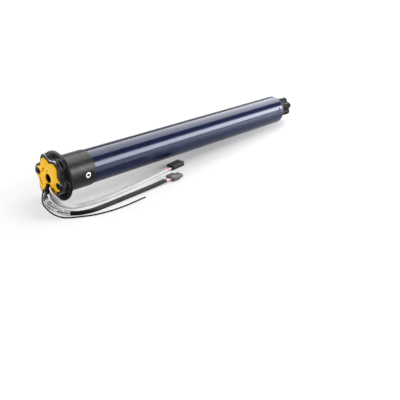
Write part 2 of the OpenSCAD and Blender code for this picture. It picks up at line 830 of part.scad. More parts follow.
module output_bush() {
    color([0.72, 0.52, 0.25]) tube_ring(bearing_x, tube_end, bush_r, journal_r + journal_play);
}

module shaft_seal() {
    color([0.04, 0.04, 0.04]) tube_ring(tube_end, tube_end + seal_t, seal_r, journal_r + 0.4);
}

module gearbox_screws() {
    screw_len = tube_r - side_screw_from - side_screw_sunk;
    color([0.1, 0.1, 0.1]) for (k = [0 : 3]) radial(gearbox_screw_clock + 90 * k, side_screw_x)
        translate([0, 0, side_screw_from]) cylinder(h = screw_len, r = side_screw_r);
}

module drive_star() {
    color([0.08, 0.08, 0.09]) difference() {
        along(drive_x) linear_extrude(drive_len) difference() {
            polygon(lobed(drive_r, drive_dip, drive_clock, 6, drive_points));
            square(square_w + 2 * fit_gap, center = true);
        }
        disc(drive_end - drive_sink, drive_end + 1, washer_r + 0.2);
    }
}

module drive_screw() {
    washer_x = drive_end - drive_sink;
    head_x = washer_x + washer_t;
    color([0.5, 0.5, 0.52]) difference() {
        union() {
            disc(washer_x, head_x, washer_r);
            disc(head_x - 0.2, drive_end - 0.6, drive_head_r);
            disc(drive_end - 16, washer_x + 0.6, drive_bolt_r);
        }
        along(drive_end - 2) cylinder(h = 4, r = 2, $fn = 6);
    }
}

// leads

module white_cable() {
    color([0.9, 0.9, 0.9]) sweep(smooth_route(white_route), flat_section(cable_w, cable_t));
}

module black_cable() {
    color([0.1, 0.1, 0.1]) sweep(smooth_route(black_route), flat_section(cable_w, cable_t));
}

module antenna_wire() {
    color([0.05, 0.05, 0.05]) sweep(smooth_route(antenna_route), round_section(antenna_r));
}

module cable_label() {
    part = [for (i = [label_from : label_to]) smooth_route(black_route)[i]];
    color([0.95, 0.95, 0.95]) sweep_wrap(part, flat_section(cable_w + 0.7, cable_t + 0.7),
        flat_section(cable_w + 0.1, cable_t + 0.1));
}

module conductors(row) {
    for (p = [white_route, black_route]) at_lead_end(p) translate([0, conductor_pitch * row, wire_z])
        along(0.02) cylinder(h = wire_len + wire_in - 0.04, r = conductor_r);
}

module wire_holes() {
    for (row = [-1 : 1]) translate([0, conductor_pitch * row, wire_z]) along(wire_len - 1)
        cylinder(h = wire_in + 1, r = conductor_r + wire_play);
}

module contact_slots(length, depth) {
    for (row = [-1 : 1])
        translate([wire_len + length - depth, contact_pitch * row - slot_half, wire_z - slot_half])
            cube([depth + 1, 2 * slot_half, 2 * slot_half]);
}

module socket_housing() {
    color([0.05, 0.05, 0.06]) at_lead_end(white_route) difference() {
        union() {
            translate([wire_len, -socket_w / 2, 0]) cube([socket_len, socket_w, socket_h]);
            for (row = [-1 : 1]) translate([wire_len, ridge_pitch * row - ridge_w / 2, socket_h - 0.1])
                cube([socket_len, ridge_w, ridge_h + 0.1]);
        }
        wire_holes();
        contact_slots(socket_len, 14);
    }
}

module plug_housing() {
    tongue_x = wire_len + plug_len - 0.1;
    color([0.2, 0.2, 0.21]) at_lead_end(black_route) difference() {
        union() {
            translate([wire_len, -plug_w / 2, 0]) cube([plug_len, plug_w, plug_h]);
            translate([tongue_x, -tongue_w / 2, tongue_z]) cube([tongue_len + 0.1, tongue_w, tongue_h]);
            translate([tongue_x, -latch_w / 2, tongue_z + tongue_h - 0.1])
                cube([latch_len, latch_w, latch_h + 0.1]);
        }
        wire_holes();
        contact_slots(plug_len + tongue_len, 9);
    }
}

module blue_conductors() {
    color([0.1, 0.6, 0.85]) conductors(1);
}

module red_conductors() {
    color([0.85, 0.3, 0.25]) conductors(0);
}

module pale_conductors() {
    color([0.95, 0.8, 0.8]) conductors(-1);
}

module contact_row(from, length, w) {
    for (row = [-1 : 1]) translate([wire_len + from, contact_pitch * row - w / 2, wire_z - w / 2])
        cube([length, w, w]);
}

module contacts() {
    color([0.8, 0.65, 0.3]) {
        at_lead_end(white_route) contact_row(10, 11, 1.4);
        at_lead_end(black_route) contact_row(11, 8, 1);
    }
}

head_body();
star_cover();
set_button();
set_switch();
cable_clamp();
crown();
crown_screws();
motor_tube();
tube_collar();
collar_pins();
board_tray();
circuit_board();
board_chips();
board_capacitors();
board_terminals();
motor_leads();
motor_can();
motor_rear_cap();
motor_magnets();
motor_bearings();
damper_rings();
rotor_shaft();
rotor_core();
commutator();
encoder_magnet();
sun_pinion();
motor_plate();
motor_plate_screws();
ring_gear();
planet_a1();
planet_a2();
planet_a3();
carrier_one();
planet_b1();
planet_b2();
planet_b3();
output_shaft();
end_bearing();
output_bush();
shaft_seal();
gearbox_screws();
drive_star();
drive_screw();
white_cable();
black_cable();
antenna_wire();
cable_label();
socket_housing();
plug_housing();
blue_conductors();
red_conductors();
pale_conductors();
contacts();
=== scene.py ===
"""Looks of the tubular roller blind motor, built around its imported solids."""
import json
import math

import bmesh
import bpy
from mathutils import Matrix, Vector


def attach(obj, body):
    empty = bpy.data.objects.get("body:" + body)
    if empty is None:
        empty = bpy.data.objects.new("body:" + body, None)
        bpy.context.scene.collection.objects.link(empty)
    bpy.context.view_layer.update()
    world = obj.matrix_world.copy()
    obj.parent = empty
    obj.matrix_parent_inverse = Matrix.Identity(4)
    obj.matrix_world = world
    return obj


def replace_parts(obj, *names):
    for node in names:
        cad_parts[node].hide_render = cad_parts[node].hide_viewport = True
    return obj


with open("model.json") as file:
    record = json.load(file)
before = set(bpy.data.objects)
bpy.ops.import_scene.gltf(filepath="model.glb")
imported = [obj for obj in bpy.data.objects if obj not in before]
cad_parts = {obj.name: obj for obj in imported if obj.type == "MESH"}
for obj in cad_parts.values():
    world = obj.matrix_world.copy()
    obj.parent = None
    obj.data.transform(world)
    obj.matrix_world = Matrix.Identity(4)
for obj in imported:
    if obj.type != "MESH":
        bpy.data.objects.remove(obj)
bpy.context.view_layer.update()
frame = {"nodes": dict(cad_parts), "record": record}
nodes = frame["nodes"]

# sizes of the object are in millimetres, and MM turns them to metres
MM = 0.001

# camera of the photograph, in the part's frame, in metres and radians
CAMERA_AT = Vector((-0.3585, -0.6044, 0.2701))
CAMERA_HEADING = math.radians(44.166)
CAMERA_DIP = math.radians(23.778)
CAMERA_LENS = 54.0
SENSOR = 36.0

# resting plane through the flange and the far end of the tube
FLANGE_MID = 12.25
FLANGE_R = 32.0
TUBE_END = 439.2
TUBE_R = 22.5
REST_SLOPE = (FLANGE_R - TUBE_R) / (TUBE_END - FLANGE_MID)

# flat leads of three cores side by side, and the round antenna wire
CABLE_W = 8.0
CABLE_T = 3.6
CORE_R = CABLE_T / 2
CORE_PITCH = (CABLE_W - CABLE_T) / 2
ANTENNA_R = 0.9
ANTENNA_LIE = 0.95


def rest_z(x):
    """Height of the resting plane at x."""
    return -FLANGE_R + (x - FLANGE_MID) * REST_SLOPE


def laid(x, y, above=CORE_R, roll=0):
    """A route point with its centre a little above the resting plane."""
    return x, y, rest_z(x) + above, roll


# lead routes: x, y and z of the centre line, and roll of the flat section in degrees
WHITE_ROUTE = [
    (5, -2.6, -13, 90), (2.6, -2.6, -13, 90), (0, -2.6, -13, 90), (-4.2, -7.6, -13, 86),
    (-7, -13, -13.6, 80), (-8.8, -18.4, -15.2, 70), (-9, -23, -17.4, 60), (-8, -27, -19.8, 48),
    (-5.6, -30.4, -22.2, 36), (-1.8, -33, -24.8, 24), (4, -34.6, -27.4, 12),
    laid(11.6, -35.6, CORE_R + 0.6, 4), laid(20, -37.8), laid(29, -39.6), laid(39, -41.2),
    laid(51, -41.8), laid(76, -40), laid(104, -37), laid(134, -33), laid(146, -31.6, 1.9),
    laid(156, -30.6, 2.4), laid(161, -30.1, 2.6), laid(165, -29.7, 2.6)]
BLACK_ROUTE = [
    (5, 1.6, -11.6, 90), (2.6, 1.6, -11.6, 90), (0, 1.6, -11.6, 90), (-6.6, -3.4, -11.4, 88),
    (-12, -9.6, -11.8, 82), (-16.8, -15.8, -12.8, 74), (-19.8, -21.2, -14.6, 64),
    (-21, -26.2, -16.8, 54), (-20.7, -30.6, -19.4, 44), (-19.2, -34.6, -22, 34),
    (-16.6, -38.2, -24.4, 25), (-12.8, -41.6, -26.8, 17), (-8, -45.2, -29, 9),
    laid(-2, -49.4, CORE_R + 0.4, 3), laid(4.4, -53.6), laid(12, -57), laid(22, -59.2),
    laid(45, -59.6), laid(70, -59), laid(96, -58.4), laid(118, -58, 1.9), laid(129, -57.8, 2.4),
    laid(134, -57.7, 2.6), laid(138, -57.6, 2.6)]
ANTENNA_ROUTE = [
    (5, 5, -11.4, 0), (2.6, 5, -11.4, 0), (0, 5, -11.4, 0), (-9, -1.2, -11.6, 0),
    (-14.5, -7.4, -12.4, 0), (-19.7, -13.9, -14, 0), (-23.6, -19.7, -17, 0), (-25.6, -25.7, -20.2, 0),
    (-25.2, -31.6, -23.2, 0), (-23.9, -37.2, -26.2, 0), (-21.2, -42.1, -28.8, 0),
    (-17.3, -47, -30.8, 0), laid(-12.4, -52, 1), laid(0, -61, ANTENNA_LIE), laid(14, -69, ANTENNA_LIE),
    laid(33, -74.4, ANTENNA_LIE), laid(54, -76.6, ANTENNA_LIE), laid(70, -76.2, ANTENNA_LIE),
    laid(88, -75.2, ANTENNA_LIE)]
STEPS_PER_POINT = 6
SECTION_STEP = 0.02

# label wrap on the black lead: its reach in route points, its wall outside and inside the cores
LABEL_FROM = 6.5
LABEL_TO = 12.5
LABEL_GROW = 0.3
LABEL_PLAY = 0.04

# bars on the label: cells along and around it, rows as shares of the way round, gaps along a row
LABEL_CELLS = (23, 6, 1)
LABEL_ROWS = ((0.05, 0.12), (0.2, 0.3), (0.38, 0.455))
LABEL_BLANK = (0.13, 0.16)
LABEL_GAP = (0.82, 0.88)

# conductors between the end of a flat lead and its housing
WIRE_Z = 2.57
WIRE_R = 1.15
WIRE_PITCH = 2.7
WIRE_IN = 12.0
WIRE_BACK = 0.6
WIRE_STEPS = 12
ARCH_PACE = 1.35

# rounded edges of the mouldings
HEAD_EDGE = 0.3
COVER_EDGE = 0.3
DRIVE_EDGE = 0.5
CROWN_EDGE = 0.2
BOLT_EDGE = 0.25
HOUSING_EDGE = 0.35
EDGE_STEPS = 3
SHARP = math.radians(28)
SHARP_AFTER_RIM = math.radians(50)
SHADE_SPLIT = math.radians(32)
FLAT = math.radians(1)
WELD = 0.002

# front rim of the star head: its rounding, where its edge and its faces begin, how its faces lean
RIM_WIDTH = 1.5
RIM_EDGE_FROM = 24.4
RIM_FACE_FROM = 22.8
RIM_LEAN = (-0.97, -0.15)
FRONT_PLAY = 0.05

# depth at which the yellow cover takes its plain tone and its full painted shade, a warmer orange that
# stands in for the shade in its recesses and on its edges
COVER_PLAIN_X = -1.0
COVER_SHADE_X = 0.1

# crown screws: station, clock angles, top of the head, and the part of its socket painted black as
# shade
BOLT_X = 42.3
BOLT_CLOCKS = (math.radians(94), math.radians(274))
BOLT_TOP = 22.8
SOCKET_R = 2.05
SOCKET_FROM = 0.15
SOCKET_TO = 1.2

# floor, in metres: radius and rise of its rings, and the oval in which it runs out to white; inside the
# oval its glow is weaker, a painted shade around the object
FLOOR_RINGS = ((3.4, 0.0), (4.6, 0.1), (5.8, 0.42), (7.0, 1.15), (8.2, 2.4))
FLOOR_SIDES = 64
FLOOR_X = 0.27
FLOOR_Y = -0.03
FLOOR_SQUEEZE = 0.4
FLOOR_NEAR = 0.02
FLOOR_FAR = 0.22
FLOOR_PALE = (0.68, 0.68, 0.685)
FLOOR_OUTER = (0.06, 0.06, 0.06)
FLOOR_GLOW = 0.08

# light: strength of the world, and lamps with place, target, width and height, watts and rays
WORLD_STRENGTH = 0.06
LAMPS = (
    ("overhead", (1.9, 0.47, 1.2), (1.9, 0.47, 0), (2.6, 1.66), 58, "all"),
    ("overhead_sheen", (1.9, 0.47, 1.19), (1.9, 0.47, 0), (2.6, 1.66), 46, "gloss"),
    ("front_wide", (1.35, -1.0, 0.47), (1.35, 0, 0.47), (1.7, 0.95), 7, "all"),
    ("front_core", (1.35, -0.99, 0.4), (1.35, 0, 0.4), (1.7, 0.56), 38, "all"),
    ("front_sheen", (1.35, -0.98, 0.4), (1.35, 0, 0.4), (1.7, 0.56), 32, "gloss"),
    ("face", (-1.1, -0.25, 0.35), (0, 0, 0), (0.9, 0.9), 10.5, "diffuse"),
    ("rim", (-0.5, 1.2, 0.7), (0, 0, 0), (0.5, 0.36), 5, "all"),
    ("rim_sheen", (-0.6, 0.9, 0.95), (0, 0, 0), (2.0, 1.1), 105, "gloss"))


# camera

def make_camera():
    """A camera at the photograph's place, with its field of view."""
    ahead = Vector((math.cos(CAMERA_HEADING) * math.cos(CAMERA_DIP),
                    math.sin(CAMERA_HEADING) * math.cos(CAMERA_DIP), -math.sin(CAMERA_DIP)))
    right = Vector((math.sin(CAMERA_HEADING), -math.cos(CAMERA_HEADING), 0))
    up = right.cross(ahead)
    data = bpy.data.cameras.new("camera")
    data.lens = CAMERA_LENS
    data.sensor_width = SENSOR
    camera = bpy.data.objects.new("camera", data)
    bpy.context.collection.objects.link(camera)
    camera.matrix_world = Matrix((right, up, -ahead)).transposed().to_4x4()
    camera.location = CAMERA_AT
    bpy.context.scene.camera = camera


# material nodes

class Shader:
    """A node material with one Principled shader and short ways to add nodes to it."""

    def __init__(self, name, color, roughness, **sockets):
        self.material = bpy.data.materials.new(name)
        self.material.use_nodes = True
        self.tree = self.material.node_tree
        self.shader = self.tree.nodes["Principled BSDF"]
        self.shader.inputs["Base Color"].default_value = (*color, 1)
        self.shader.inputs["Roughness"].default_value = roughness
        for socket, value in sockets.items():
            self.shader.inputs[socket.replace("_", " ")].default_value = value
        self.coords = self.tree.nodes.new("ShaderNodeTexCoord").outputs["Object"]

    def add(self, kind, **values):
        """A new node, with values set on its settings or its input sockets."""
        node = self.tree.nodes.new(kind)
        for key, value in values.items():
            if key in node.inputs:
                node.inputs[key].default_value = value
            else:
                setattr(node, key, value)
        return node

    def link(self, a, b):
        """Joins an output to an input."""
        self.tree.links.new(a, b)

    def joined(self, kind, operation, *inputs, **values):
        """The output of a maths node that takes its inputs from other outputs."""
        node = self.add(kind, operation=operation, **values)
        for k, source in enumerate(inputs):
            self.link(source, node.inputs[k])
        return node.outputs["Vector" if operation in ("FLOOR", "FRACTION") else "Value"]

    def scaled(self, coords, scale):
        """Coordinates scaled by axis."""
        mapping = self.add("ShaderNodeMapping")
        mapping.inputs["Scale"].default_value = scale
        self.link(coords, mapping.inputs["Vector"])
        return mapping.outputs["Vector"]

    def axis(self, coords, name):
        """One axis of some coordinates."""
        split = self.add("ShaderNodeSeparateXYZ")
        self.link(coords, split.inputs["Vector"])
        return split.outputs[name]

    def noise(self, scale, detail=3.0):
        """Soft noise over the surface."""
        node = self.add("ShaderNodeTexNoise", Scale=scale, Detail=detail)
        self.link(self.coords, node.inputs["Vector"])
        return node.outputs["Fac"]

    def ramp(self, fac, low, high, start=0.3, end=0.7):
        """A colour that runs from low to high as fac goes from start to end."""
        node = self.add("ShaderNodeValToRGB")
        node.color_ramp.elements[0].position = start
        node.color_ramp.elements[1].position = end
        node.color_ramp.elements[0].color = (*low, 1)
        node.color_ramp.elements[1].color = (*high, 1)
        self.link(fac, node.inputs["Fac"])
        return node.outputs["Color"]

    def grey(self, fac, low, high, start=0.3, end=0.7):
        """A number that runs from low to high as fac goes from start to end."""
        node = self.add("ShaderNodeMapRange")
        for key, value in zip(("From Min", "From Max", "To Min", "To Max"), (start, end, low, high)):
            node.inputs[key].default_value = value
        self.link(fac, node.inputs["Value"])
        return node.outputs["Result"]

    def blend(self, fac, plain_color, other_color):
        """Base colour that goes from one colour to the other with fac."""
        mix = self.add("ShaderNodeMix", data_type="RGBA", clamp_factor=True)
        self.link(fac, mix.inputs["Factor"])
        self.link(plain_color, mix.inputs["A"])
        self.link(other_color, mix.inputs["B"])
        self.link(mix.outputs["Result"], self.shader.inputs["Base Color"])

    def mottle(self, low, high, scale):
        """Colour variation over the surface."""
        self.link(self.ramp(self.noise(scale, 4.0), low, high), self.shader.inputs["Base Color"])
        return self

    def rough(self, low, high, scale):
        """Roughness variation over the surface."""
        self.link(self.grey(self.noise(scale, 4.0), low, high), self.shader.inputs["Roughness"])
        return self

    def grain(self, scale, depth):
        """Fine relief of the surface, depth in metres."""
        bump = self.add("ShaderNodeBump", Strength=1.0, Distance=depth)
        self.link(self.noise(scale, 2.0), bump.inputs["Height"])
        self.link(bump.outputs["Normal"], self.shader.inputs["Normal"])
        return self


def finish(name, color, roughness, tone, sheen, grain, **sockets):
    """A finish that varies a little in colour, roughness and relief.

    tone holds two end colours and a noise scale, sheen two end roughnesses and a noise scale, and grain
    a noise scale and a depth in metres. color and roughness are the plain values behind them.
    """
    return Shader(name, color, roughness, **sockets).mottle(*tone).rough(*sheen).grain(*grain).material


def plain(name, color, roughness, metallic=0.0, scale=160.0, spread=0.12, depth=0.000006, gloss=0.3):
    """A moulded, cast or turned finish around one colour and one roughness."""
    darker = [c * (1 - spread) for c in color]
    lighter = [min(1, c * (1 + spread)) for c in color]
    return finish(name, color, roughness, tone=(darker, lighter, scale),
                  sheen=(roughness * 0.8, min(1, roughness * 1.2), scale * 1.7),
                  grain=(scale * 12, depth), Metallic=metallic, Specular_IOR_Level=gloss)


# finishes of the parts that the photograph shows

def navy_paint():
    return finish("navy_paint", (0.006, 0.009, 0.035), 0.2,
                  tone=((0.005, 0.008, 0.030), (0.008, 0.012, 0.042), 60), sheen=(0.14, 0.18, 35),
                  grain=(900, 0.000004), Specular_IOR_Level=0.22, Specular_Tint=(0.78, 0.82, 1.0, 1))


def black_satin():
    return finish("black_satin", (0.012, 0.012, 0.013), 0.28,
                  tone=((0.006, 0.006, 0.007), (0.011, 0.011, 0.012), 90), sheen=(0.42, 0.52, 140),
                  grain=(2600, 0.00001), Specular_IOR_Level=0.11)


def rim_gloss():
    return finish("rim_gloss", (0.012, 0.012, 0.013), 0.17,
                  tone=((0.006, 0.006, 0.007), (0.011, 0.011, 0.012), 90), sheen=(0.14, 0.2, 140),
                  grain=(2600, 0.000005), Specular_IOR_Level=0.5)


# a darker, less glossy copy of the black plastic: painted shade against the stronger light at the drive
# end
def drive_black_shaded():
    return finish("drive_black_shaded", (0.007, 0.007, 0.008), 0.3,
                  tone=((0.004, 0.004, 0.005), (0.009, 0.009, 0.010), 90), sheen=(0.26, 0.36, 140),
                  grain=(2600, 0.00001), Specular_IOR_Level=0.03)


def crown_texture():
    return finish("crown_texture", (0.028, 0.028, 0.030), 0.34,
                  tone=((0.012, 0.012, 0.013), (0.02, 0.02, 0.021), 120), sheen=(0.3, 0.38, 200),
                  grain=(3500, 0.00002), Specular_IOR_Level=0.11)


def yellow_plastic():
    """Yellow faces, with painted shade: a warmer orange on the faces that are set back, in place of the
    shade in the recesses.
    """
    s = Shader("yellow_plastic", (1.0, 0.56, 0.02), 0.34, Specular_IOR_Level=0.12)
    # painted shade: faces further back than the front take a deeper orange
    painted_shade = s.grey(s.axis(s.coords, "X"), 0.0, 1.0, COVER_PLAIN_X * MM, COVER_SHADE_X * MM)
    s.blend(painted_shade, s.ramp(s.noise(70), (0.97, 0.54, 0.008), (1.0, 0.61, 0.014)),
            s.ramp(s.noise(90), (0.87, 0.21, 0.002), (0.95, 0.27, 0.005)))
    return s.rough(0.28, 0.42, 160).grain(2200, 0.000008).material


def white_jacket():
    return finish("white_jacket", (0.84, 0.84, 0.86), 0.42,
                  tone=((0.46, 0.46, 0.475), (0.53, 0.53, 0.545), 120), sheen=(0.36, 0.5, 220),
                  grain=(1800, 0.000012), Specular_IOR_Level=0.3)


def black_jacket():
    return finish("black_jacket", (0.008, 0.008, 0.009), 0.16,
                  tone=((0.005, 0.005, 0.006), (0.009, 0.009, 0.010), 150), sheen=(0.12, 0.2, 260),
                  grain=(1800, 0.000015), Specular_IOR_Level=0.06)


def label_rows(s, across):
    """White in the rows of bars and black between them."""
    rows = s.add("ShaderNodeValToRGB")
    rows.color_ramp.interpolation = "CONSTANT"
    first, *others = [edge for row in LABEL_ROWS for edge in row]
    rows.color_ramp.elements[1].position = first
    for k, edge in enumerate(others):
        tone = k % 2
        rows.color_ramp.elements.new(edge).color = (tone, tone, tone, 1)
    s.link(across, rows.inputs["Fac"])
    return rows.outputs["Color"]


def label_paper():
    """Glossy white film with three rows of plain dark bars on its upper side, along U of the wrap."""
    s = Shader("label_paper", (0.84, 0.84, 0.85), 0.36, Specular_IOR_Level=0.3)
    uv = s.add("ShaderNodeTexCoord").outputs["UV"]
    grid = s.scaled(uv, LABEL_CELLS)
    word = s.add("ShaderNodeTexWhiteNoise", noise_dimensions="2D")
    s.link(s.joined("ShaderNodeVectorMath", "FLOOR", grid), word.inputs["Vector"])
    within = s.axis(s.joined("ShaderNodeVectorMath", "FRACTION", grid), "X")
    dash = s.joined("ShaderNodeMath", "MULTIPLY", s.grey(word.outputs["Value"], 0, 1, *LABEL_BLANK),
                    s.grey(within, 1, 0, *LABEL_GAP))
    ink = s.joined("ShaderNodeMath", "MULTIPLY", dash, label_rows(s, s.axis(uv, "Y")))
    s.blend(ink, s.ramp(s.noise(150), (0.52, 0.52, 0.54), (0.60, 0.60, 0.61)),
            s.ramp(s.noise(300), (0.03, 0.03, 0.033), (0.06, 0.06, 0.063)))
    return s.rough(0.3, 0.45, 200).grain(1500, 0.00001).material


MATERIALS = {
    "navy_paint": navy_paint(),
    "black_plastic": black_satin(),
    "drive_black_shaded": drive_black_shaded(),
    "rim_gloss": rim_gloss(),
    "crown_plastic": crown_texture(),
    "yellow_plastic": yellow_plastic(),
    "white_jacket": white_jacket(),
    "black_jacket": black_jacket(),
    "bright_steel": plain("bright_steel", (0.82, 0.83, 0.85), 0.18, 1.0),
    "steel": plain("steel", (0.5, 0.51, 0.53), 0.34, 1.0),
    "bronze": plain("bronze", (0.68, 0.45, 0.2), 0.32, 1.0),
    "copper": plain("copper", (0.75, 0.36, 0.18), 0.3, 1.0),
    "pale_plastic": plain("pale_plastic", (0.75, 0.75, 0.7), 0.45),
    "gear_plastic": plain("gear_plastic", (0.8, 0.76, 0.64), 0.4),
    "sintered_steel": plain("sintered_steel", (0.3, 0.29, 0.28), 0.5, 1.0, 400, 0.25, 0.00002),
    "board_green": plain("board_green", (0.02, 0.2, 0.07), 0.3),
    "chip_black": plain("chip_black", (0.014, 0.014, 0.015), 0.42, gloss=0.12),
    "capacitor_sleeve": plain("capacitor_sleeve", (0.03, 0.045, 0.16), 0.3),
    "terminal_green": plain("terminal_green", (0.03, 0.25, 0.09), 0.42),
    "rubber": plain("rubber", (0.016, 0.016, 0.016), 0.7),
    "label_paper": label_paper(),
    "plug_grey": plain("plug_grey", (0.06, 0.06, 0.062), 0.45),
    "blue_insulation": plain("blue_insulation", (0.05, 0.5, 0.64), 0.35),
    "red_insulation": plain("red_insulation", (0.78, 0.15, 0.1), 0.35),
    "pale_insulation": plain("pale_insulation", (0.72, 0.43, 0.41), 0.35),
    "ferrite": plain("ferrite", (0.1, 0.1, 0.11), 0.5, 0.6),
    "orange_plastic": plain("orange_plastic", (0.06, 0.014, 0.002), 0.5, gloss=0.04),
}


def dress(piece, finish_name):
    """Gives a piece one finish."""
    piece.data.materials.clear()
    piece.data.materials.append(MATERIALS[finish_name])
    return piece


def dress_cad():
    """Gives every CAD node the finish of its slot, and the gearbox screws the shaded black of the drive
    star.
    """
    for part in frame["record"]["subparts"]:
        dress(nodes[part["node"]], part["material_slot"])
    dress(nodes["gearbox_screws"], "drive_black_shaded")


# mesh helpers

def place(name, mesh):
    """A new object in the scene."""
    piece = bpy.data.objects.new(name, mesh)
    bpy.context.collection.objects.link(piece)
    return piece


def enlist(piece, slot, body, node):
    """Dresses a piece, names its slot and body, and lets it stand for a CAD node."""
    dress(piece, slot)
    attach(piece, body)
    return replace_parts(piece, node)


def swept_piece(name, verts, faces, slot, node):
    """A smooth piece on the stator that stands for a CAD node."""
    mesh = bpy.data.meshes.new(name)
    mesh.from_pydata(verts, [], faces)
    mesh.update()
    mesh.polygons.foreach_set("use_smooth", [True] * len(mesh.polygons))
    return enlist(place(name, mesh), slot, "stator", node)


def curve_point(a, b, c, d, t):
    """A point of the smooth curve through b and c, with neighbours a and d."""
    return [0.5 * (2 * q + (r - p) * t + (2 * p - 5 * q + 4 * r - s) * t * t
                   + (3 * q - p - 3 * r + s) * t ** 3) for p, q, r, s in zip(a, b, c, d)]


def route_at(route, s):
    """Position and roll at s, counted in route points from the start."""
    last = len(route) - 2
    i = min(int(s), last)
    b, c = route[i], route[i + 1]
    a = route[i - 1] if i else [2 * p - q for p, q in zip(b, c)]
    d = route[i + 2] if i < last else [2 * q - p for p, q in zip(b, c)]
    return curve_point(a, b, c, d, s - i)


def stations(route, start, end):
    """Evenly spread positions and rolls along a route, in metres and radians."""
    count = round((end - start) * STEPS_PER_POINT)
    spots = [route_at(route, start + (end - start) * k / count) for k in range(count + 1)]
    return [(Vector(q[:3]) * MM, math.radians(q[3])) for q in spots]


def sweep(spots, section):
    """Vertices and faces of a closed section swept along positions and rolls, the two ends last."""
    verts = []
    count = len(section)
    for i, (at, roll) in enumerate(spots):
        ahead = (spots[min(i + 1, len(spots) - 1)][0] - spots[max(i - 1, 0)][0]).normalized()
        left = Vector((0, 0, 1)).cross(ahead).normalized()
        up = ahead.cross(left)
        wide = left * math.cos(roll) + up * math.sin(roll)
        thick = ahead.cross(wide)
        verts += [at + (wide * a + thick * b) * MM for a, b in section]
    faces = [(i * count + k, i * count + (k + 1) % count, (i + 1) * count + (k + 1) % count,
              (i + 1) * count + k) for i in range(len(spots) - 1) for k in range(count)]
    faces.append(tuple(range(count))[::-1])
    faces.append(tuple((len(spots) - 1) * count + k for k in range(count)))
    return verts, faces


def ribbed_section(grow=0.0, per_core=9):
    """Outline of three cores side by side."""
    reach = math.degrees(math.acos(CORE_PITCH / 2 / CORE_R))
    points = []
    for side in (1, -1):
        for core in (1, 0, -1):
            first = 0.0 if core == 1 else reach
            last = 180.0 if core == -1 else 180.0 - reach
            for k in range(per_core + 1):
                a = math.radians(first + (last - first) * k / per_core)
                points.append((side * (core * CORE_PITCH + (CORE_R + grow) * math.cos(a)),
                               side * (CORE_R + grow) * math.sin(a)))
    outline = []
    for p in points:
        if not outline or math.dist(p, outline[-1]) > SECTION_STEP:
            outline.append(p)
    return outline if math.dist(outline[0], outline[-1]) > SECTION_STEP else outline[:-1]


def round_section(r, count=14):
    """Outline of a round wire."""
    return [(r * math.cos(2 * math.pi * k / count), r * math.sin(2 * math.pi * k / count))
            for k in range(count)]


# leads

def lead(name, node, route, section, slot):
    """A swept lead that stands for its CAD solid, and the path it follows."""
    spots = stations(route, 0, len(route) - 1)
    piece = swept_piece(name, *sweep(spots, section), slot, node)
    return piece, [tuple(at) for at, roll in spots]


def unroll(mesh, around, along):
    """UV of a swept mesh: U along it and V around it."""
    uv = mesh.uv_layers.new(name="wrap")
    for polygon in mesh.polygons:
        ring = [mesh.loops[k].vertex_index % around for k in polygon.loop_indices]
        seam = max(ring) - min(ring) > around / 2
        for k, loop in enumerate(polygon.loop_indices):
            step = mesh.loops[loop].vertex_index // around % along
            turn = ring[k] + (around if seam and ring[k] < around / 2 else 0)
            uv.data[loop].uv = (step / (along - 1), turn / around)


def make_label():
    """The wrap around the black lead, open at both ends, with bars along its length."""
    spots = stations(BLACK_ROUTE, LABEL_FROM, LABEL_TO)
    outer, walls = sweep(spots, ribbed_section(LABEL_GROW))
    inner, walls = sweep(spots, ribbed_section(LABEL_PLAY))
    around = len(outer) // len(spots)
    sides = walls[:-2]
    faces = sides + [tuple(i + len(outer) for i in face[::-1]) for face in sides]
    for first, way in ((0, -1), (len(outer) - around, 1)):
        ring = [first + k for k in range(around)][::way]
        turned = ring[1:] + ring[:1]
        faces += [(a, b, b + len(outer), a + len(outer)) for a, b in zip(ring, turned)]
    label = swept_piece("lead_label", outer + inner, faces, "label_paper", "cable_label")
    unroll(label.data, around, len(spots))
    return label


def lead_end(route):
    """Frame at the end of a lead: X along the lead, Z off the resting plane, origin on the plane."""
    (x0, y0, z0, r0), (x1, y1, z1, r1) = route[-2:]
    heading = Matrix.Rotation(math.atan2(y1 - y0, x1 - x0), 4, "Z")
    slope = Matrix.Rotation(-math.atan(REST_SLOPE), 4, "Y")
    end = Matrix.Translation(Vector((x1, y1, z1)) * MM)
    return end @ heading @ slope @ Matrix.Translation((0, 0, -WIRE_Z * MM))


def wire_point(row, arch, t):
    """A point of a conductor in the frame of its lead's end, t of the way into the housing."""
    ease = t * t * (3 - 2 * t)
    along = -WIRE_BACK + (WIRE_IN + WIRE_BACK) * t
    across = row * (CORE_PITCH + (WIRE_PITCH - CORE_PITCH) * ease)
    above = WIRE_Z + arch * math.sin(math.pi * min(1, t * ARCH_PACE))
    return Vector((along, across, above)) * MM


def make_wires(name, node, row, slot, arch):
    """One conductor at the end of each flat lead, arched a little between jacket and housing."""
    verts, faces = [], []
    for route in (WHITE_ROUTE, BLACK_ROUTE):
        end = lead_end(route)
        spots = [(end @ wire_point(row, arch, k / WIRE_STEPS), 0.0) for k in range(WIRE_STEPS + 1)]
        more, more_faces = sweep(spots, round_section(WIRE_R))
        faces += [tuple(i + len(verts) for i in face) for face in more_faces]
        verts += more
    return swept_piece(name, verts, faces, slot, node)


